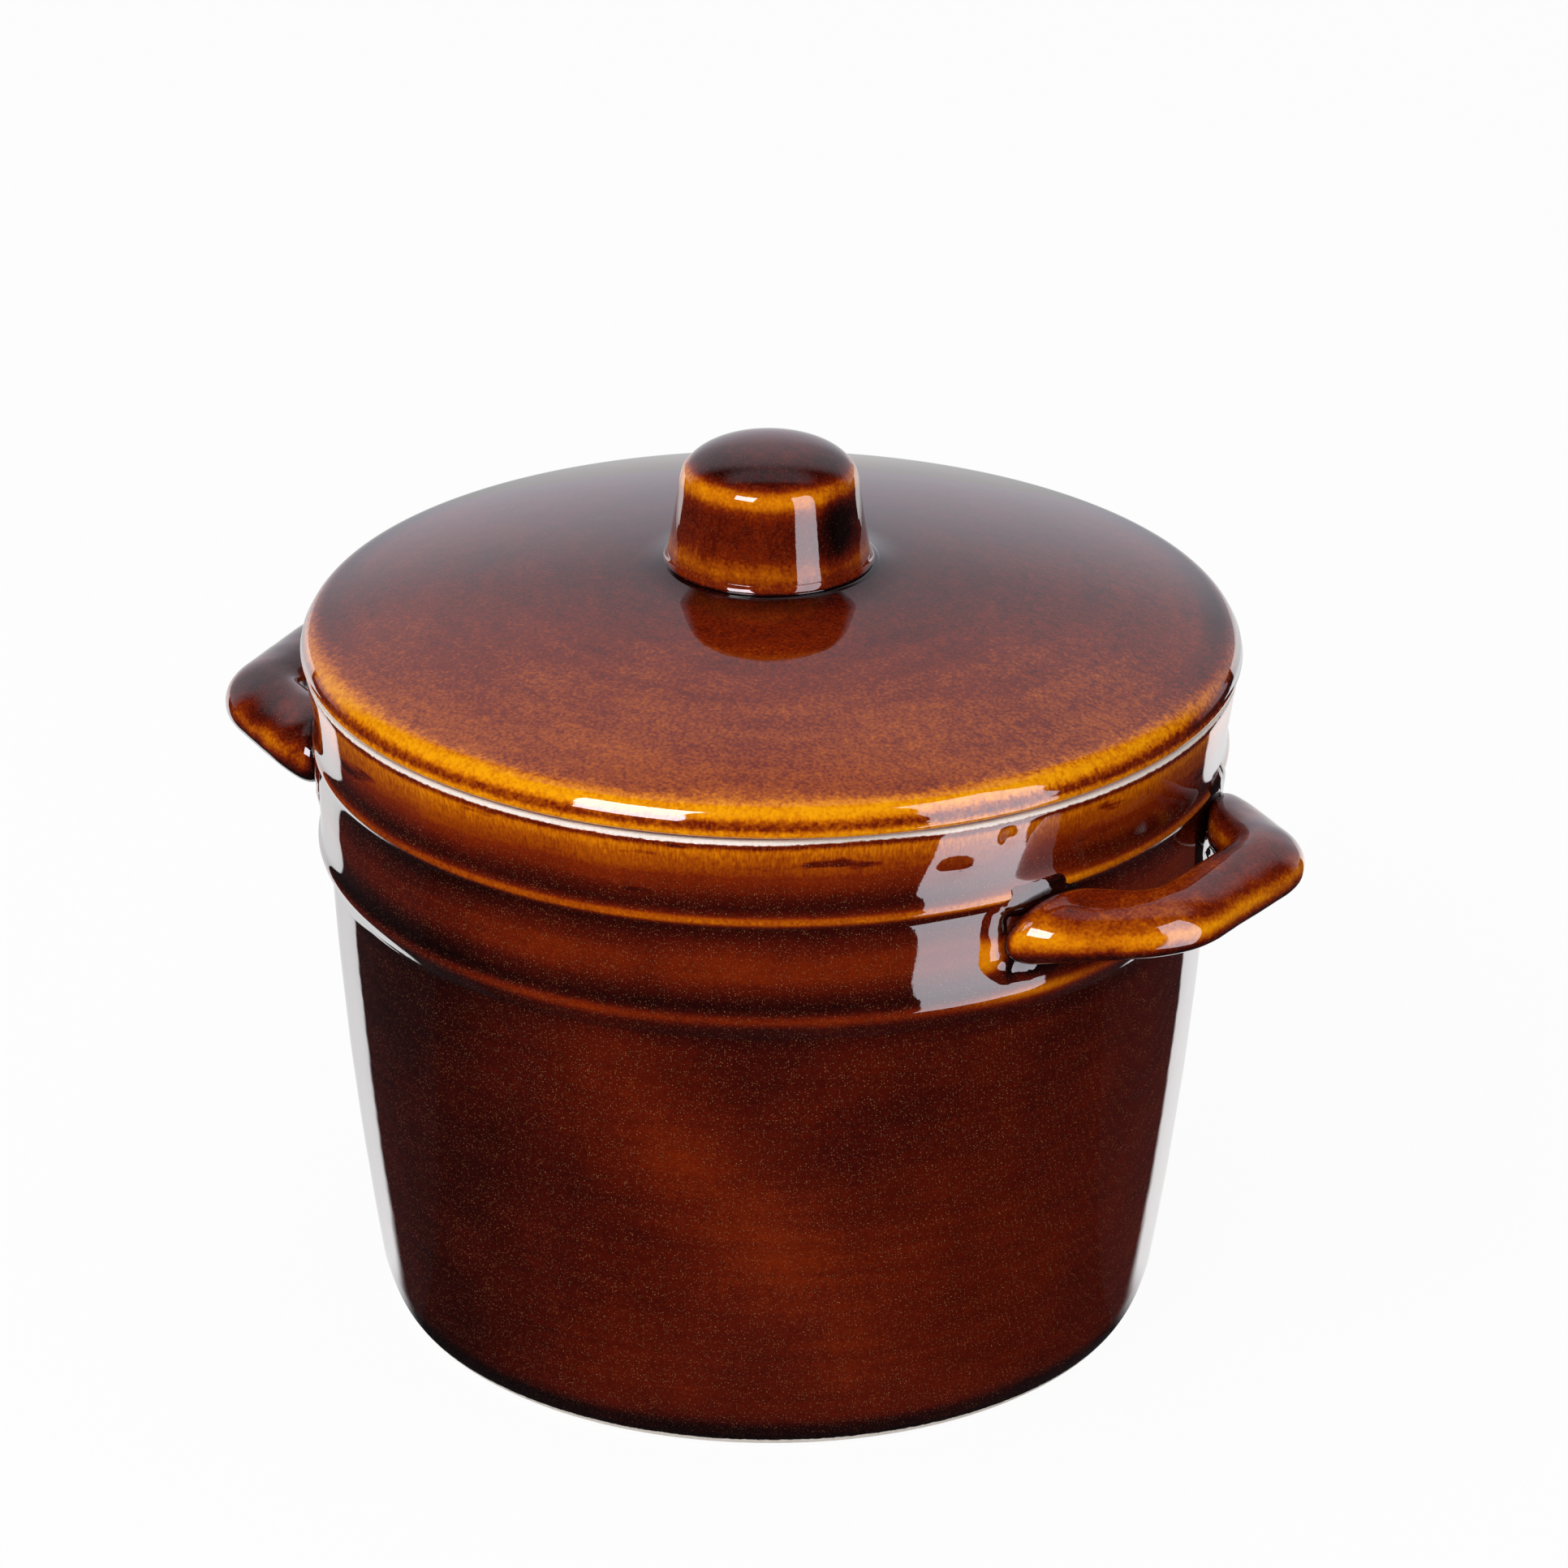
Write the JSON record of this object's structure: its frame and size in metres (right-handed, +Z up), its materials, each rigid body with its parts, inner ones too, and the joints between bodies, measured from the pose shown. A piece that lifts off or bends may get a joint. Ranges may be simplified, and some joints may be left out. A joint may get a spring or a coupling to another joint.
{
  "type": "stoneware crock",
  "caption": "Brown-glazed stoneware crock with stepped bands below its rim, loop handles luted to its sides, and a domed lid with a knob that lifts off.",
  "frame": {"origin": "on the floor, under the middle of the pot", "axes": "+Z up along the pot's axis, +X towards the right handle, -Y towards the front that the picture shows"},
  "size_m": [0.247, 0.1992, 0.1938],
  "materials": {
    "pot_glaze": "glossy red-brown glaze, amber where it is thin, with a bare clay rim and foot",
    "handle_glaze": "glossy red-brown glaze, amber on the edges",
    "lid_glaze": "glossy brown glaze with fine mottling, amber at the edge, bare clay underneath where it sits on the rim",
    "slip": "glazed clay slip, nearly black where the glaze pooled"
  },
  "bodies": {
    "crock": {"crock_body": "pot_glaze", "handle_right": "handle_glaze", "handle_right_front_slip": "slip", "handle_right_rear_slip": "slip", "handle_left": "handle_glaze", "handle_left_front_slip": "slip", "handle_left_rear_slip": "slip"},
    "lid": {"lid_plate": "lid_glaze", "knob_slip_ring": "slip", "lid_knob": "lid_glaze"}
  },
  "joints": [
    {"name": "lid_lift", "type": "slide", "parent": "crock", "child": "lid", "axis": [0, 0, 1], "range_m": [0, 0.15]}
  ]
}
